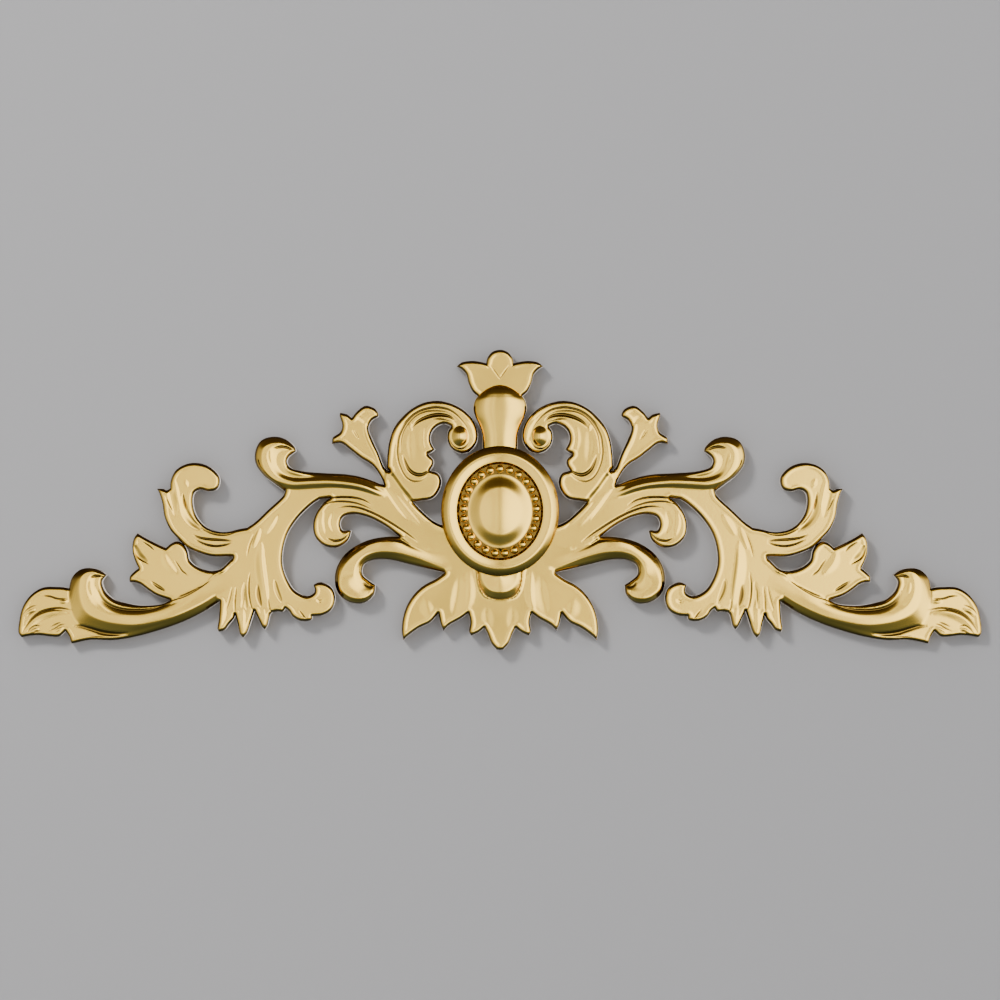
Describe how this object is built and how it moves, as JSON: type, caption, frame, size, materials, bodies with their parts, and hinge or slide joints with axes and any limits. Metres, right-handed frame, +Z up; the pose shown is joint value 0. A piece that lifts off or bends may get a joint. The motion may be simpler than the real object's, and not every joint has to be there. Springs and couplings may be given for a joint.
{
  "type": "cartouche",
  "caption": "Gold scrollwork ornament with a beaded oval medallion, a tulip on top, a pendant leaf below and a leafy bough to each side, to be fixed flat on a wall.",
  "frame": {"origin": "on the flat back, behind the middle of the oval medallion", "axes": "+X to the right as seen from the front, +Z up, +Y into the wall: the carved front looks along -Y"},
  "size_m": [0.4824, 0.016, 0.1503],
  "materials": {
    "gold_brass": "polished and gold-lacquered, dark in the recesses"
  },
  "bodies": {
    "root": {"cartouche": "gold_brass"}
  },
  "joints": []
}
